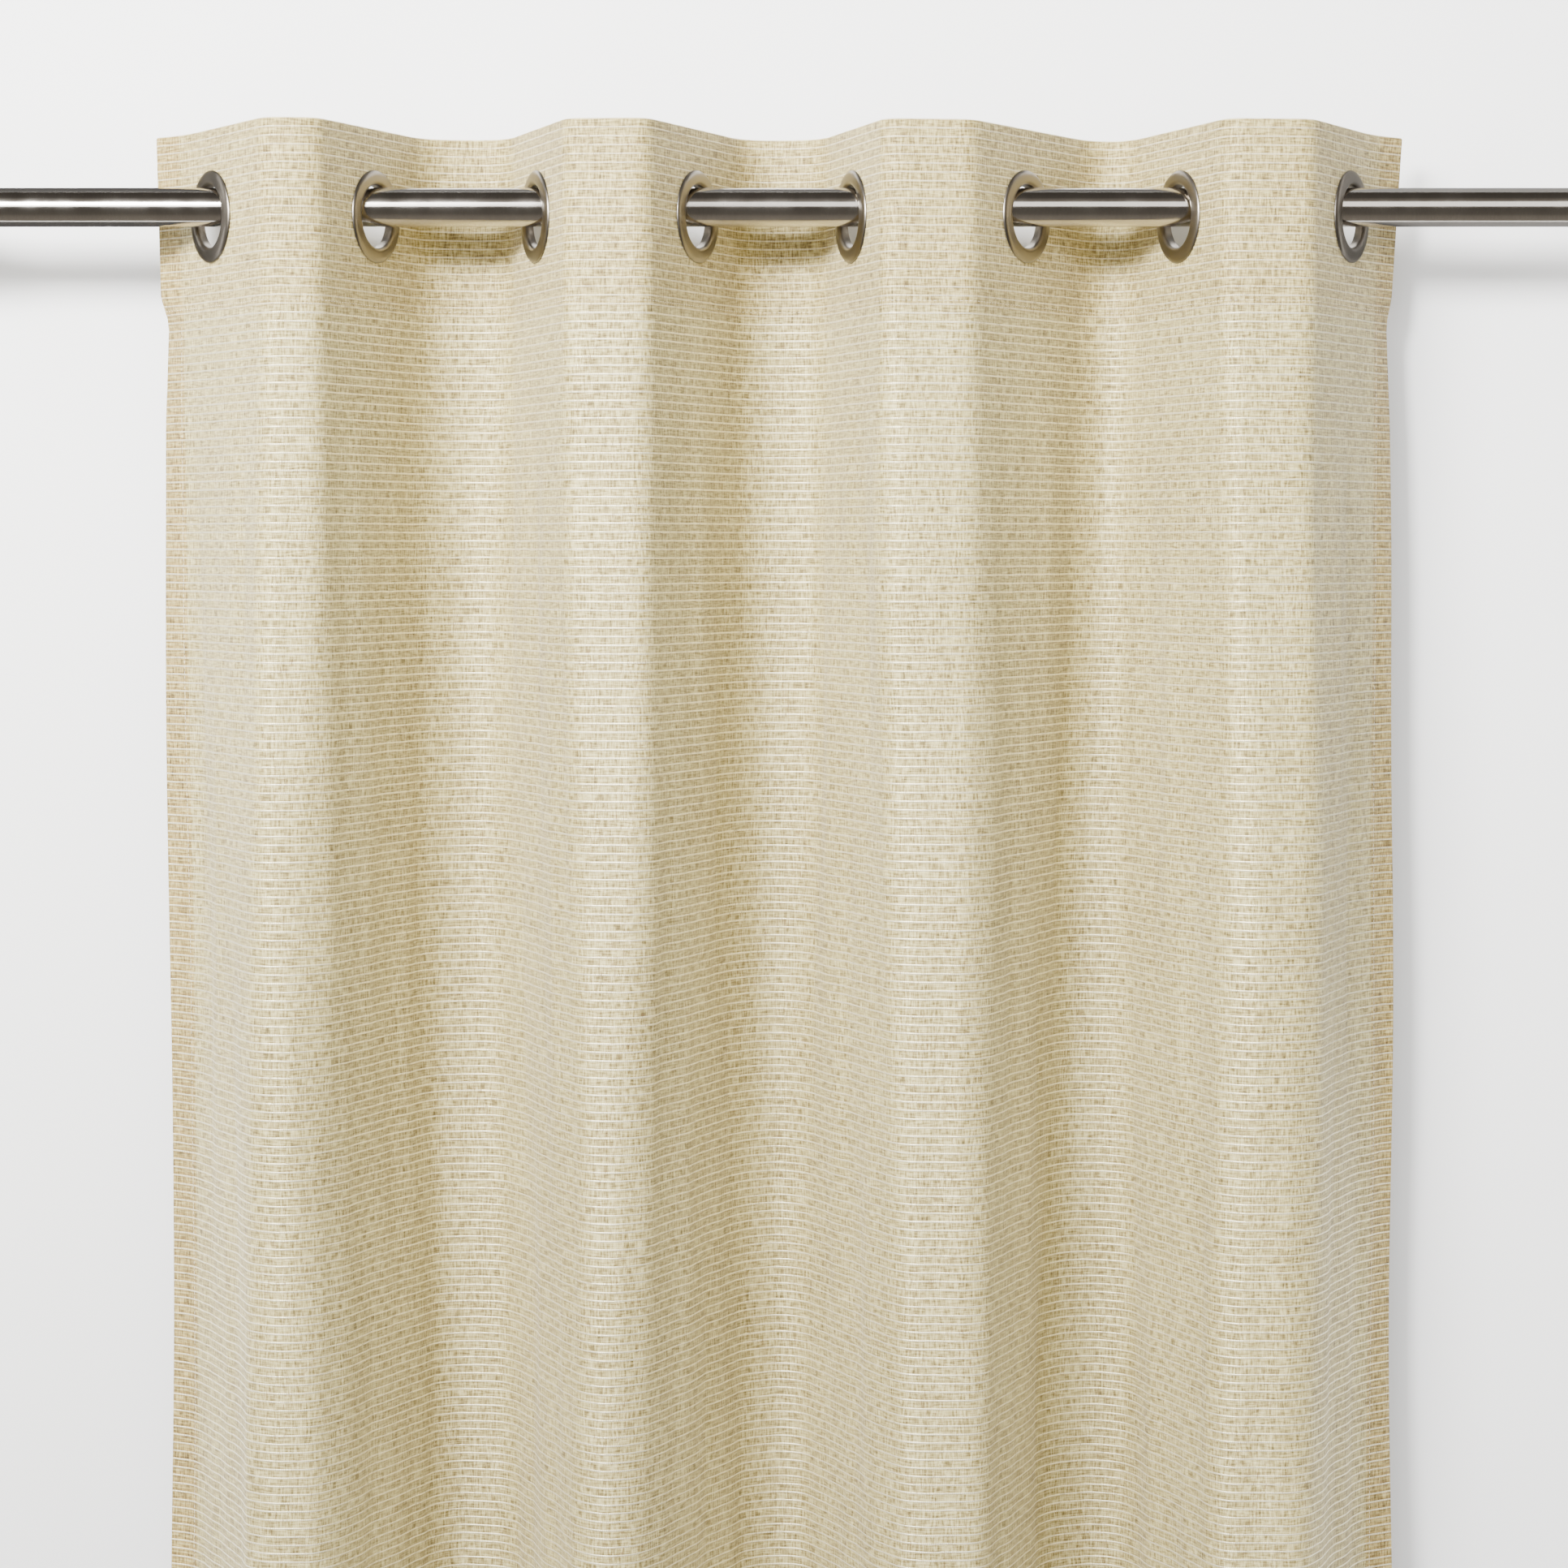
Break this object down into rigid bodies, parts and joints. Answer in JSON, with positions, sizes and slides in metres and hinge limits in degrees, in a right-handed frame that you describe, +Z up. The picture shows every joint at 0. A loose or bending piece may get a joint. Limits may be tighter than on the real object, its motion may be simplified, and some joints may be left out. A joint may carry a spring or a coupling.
{
  "type": "eyelet curtain on pole",
  "caption": "Full-length linen-look eyelet curtain hanging in deep folds from a brushed steel pole on two wall brackets.",
  "frame": {"origin": "on the wall, midway between the two brackets, at the height of the pole's axis", "axes": "+Z up, -Y out from the wall into the room, +X along the pole, to the right for someone facing the curtain"},
  "size_m": [1.232, 0.1722, 2.5],
  "materials": {
    "pole_steel": "brushed, fine grain around the pole",
    "eyelet_nickel": "satin nickel plate on pressed steel",
    "screw_zinc": "zinc plate",
    "heading_cloth": "turned-down double cloth with a stiff band inside",
    "curtain_cloth": "linen-look weave with pale cross stripes and slubs"
  },
  "bodies": {
    "pole": {"pole_tube": "pole_steel", "end_cap_left": "pole_steel", "end_cap_screw_left": "screw_zinc", "wall_plate_left": "screw_zinc", "wall_screw_left_upper": "screw_zinc", "wall_screw_left_lower": "screw_zinc", "wall_cover_left": "pole_steel", "bracket_arm_left": "pole_steel", "pole_holder_left": "pole_steel", "pole_screw_left": "screw_zinc", "arm_screw_left": "screw_zinc", "end_cap_right": "pole_steel", "end_cap_screw_right": "screw_zinc", "wall_plate_right": "screw_zinc", "wall_screw_right_upper": "screw_zinc", "wall_screw_right_lower": "screw_zinc", "wall_cover_right": "pole_steel", "bracket_arm_right": "pole_steel", "pole_holder_right": "pole_steel", "pole_screw_right": "screw_zinc", "arm_screw_right": "screw_zinc"},
    "eyelet_1": {"heading_1": "heading_cloth", "cloth_strip_1": "curtain_cloth", "eyelet_front_1": "eyelet_nickel", "eyelet_back_1": "eyelet_nickel", "cloth_fold_1": "curtain_cloth"},
    "eyelet_2": {"heading_2": "heading_cloth", "cloth_strip_2": "curtain_cloth", "eyelet_front_2": "eyelet_nickel", "eyelet_back_2": "eyelet_nickel", "cloth_fold_2": "curtain_cloth"},
    "eyelet_3": {"heading_3": "heading_cloth", "cloth_strip_3": "curtain_cloth", "eyelet_front_3": "eyelet_nickel", "eyelet_back_3": "eyelet_nickel", "cloth_fold_3": "curtain_cloth"},
    "eyelet_4": {"heading_4": "heading_cloth", "cloth_strip_4": "curtain_cloth", "eyelet_front_4": "eyelet_nickel", "eyelet_back_4": "eyelet_nickel", "cloth_fold_4": "curtain_cloth"},
    "eyelet_5": {"heading_5": "heading_cloth", "cloth_strip_5": "curtain_cloth", "eyelet_front_5": "eyelet_nickel", "eyelet_back_5": "eyelet_nickel", "cloth_fold_5": "curtain_cloth"},
    "eyelet_6": {"heading_6": "heading_cloth", "cloth_strip_6": "curtain_cloth", "eyelet_front_6": "eyelet_nickel", "eyelet_back_6": "eyelet_nickel", "cloth_fold_6": "curtain_cloth"},
    "eyelet_7": {"heading_7": "heading_cloth", "cloth_strip_7": "curtain_cloth", "eyelet_front_7": "eyelet_nickel", "eyelet_back_7": "eyelet_nickel", "cloth_fold_7": "curtain_cloth"},
    "eyelet_8": {"heading_8": "heading_cloth", "cloth_strip_8": "curtain_cloth", "eyelet_front_8": "eyelet_nickel", "eyelet_back_8": "eyelet_nickel"}
  },
  "joints": [
    {"name": "slide_along_pole", "type": "slide", "parent": "pole", "child": "eyelet_1", "axis": [1, 0, 0], "range_m": [-0.115, 0.055]},
    {"name": "draw", "type": "slide", "parent": "eyelet_1", "child": "eyelet_2", "axis": [1, 0, 0], "range_m": [-0.053, 0.009], "deforming": ["cloth_fold_1"]},
    {"name": "draw_3", "type": "slide", "parent": "eyelet_2", "child": "eyelet_3", "axis": [1, 0, 0], "range_m": [-0.053, 0.009], "deforming": ["cloth_fold_2"]},
    {"name": "draw_4", "type": "slide", "parent": "eyelet_3", "child": "eyelet_4", "axis": [1, 0, 0], "range_m": [-0.053, 0.009], "deforming": ["cloth_fold_3"]},
    {"name": "draw_5", "type": "slide", "parent": "eyelet_4", "child": "eyelet_5", "axis": [1, 0, 0], "range_m": [-0.053, 0.009], "deforming": ["cloth_fold_4"]},
    {"name": "draw_6", "type": "slide", "parent": "eyelet_5", "child": "eyelet_6", "axis": [1, 0, 0], "range_m": [-0.053, 0.009], "deforming": ["cloth_fold_5"]},
    {"name": "draw_7", "type": "slide", "parent": "eyelet_6", "child": "eyelet_7", "axis": [1, 0, 0], "range_m": [-0.053, 0.009], "deforming": ["cloth_fold_6"]},
    {"name": "draw_8", "type": "slide", "parent": "eyelet_7", "child": "eyelet_8", "axis": [1, 0, 0], "range_m": [-0.053, 0.009], "deforming": ["cloth_fold_7"]}
  ],
  "couplings": [
    {"joint": "draw_3", "follows": "draw", "ratio": 1},
    {"joint": "draw_4", "follows": "draw", "ratio": 1},
    {"joint": "draw_5", "follows": "draw", "ratio": 1},
    {"joint": "draw_6", "follows": "draw", "ratio": 1},
    {"joint": "draw_7", "follows": "draw", "ratio": 1},
    {"joint": "draw_8", "follows": "draw", "ratio": 1}
  ]
}
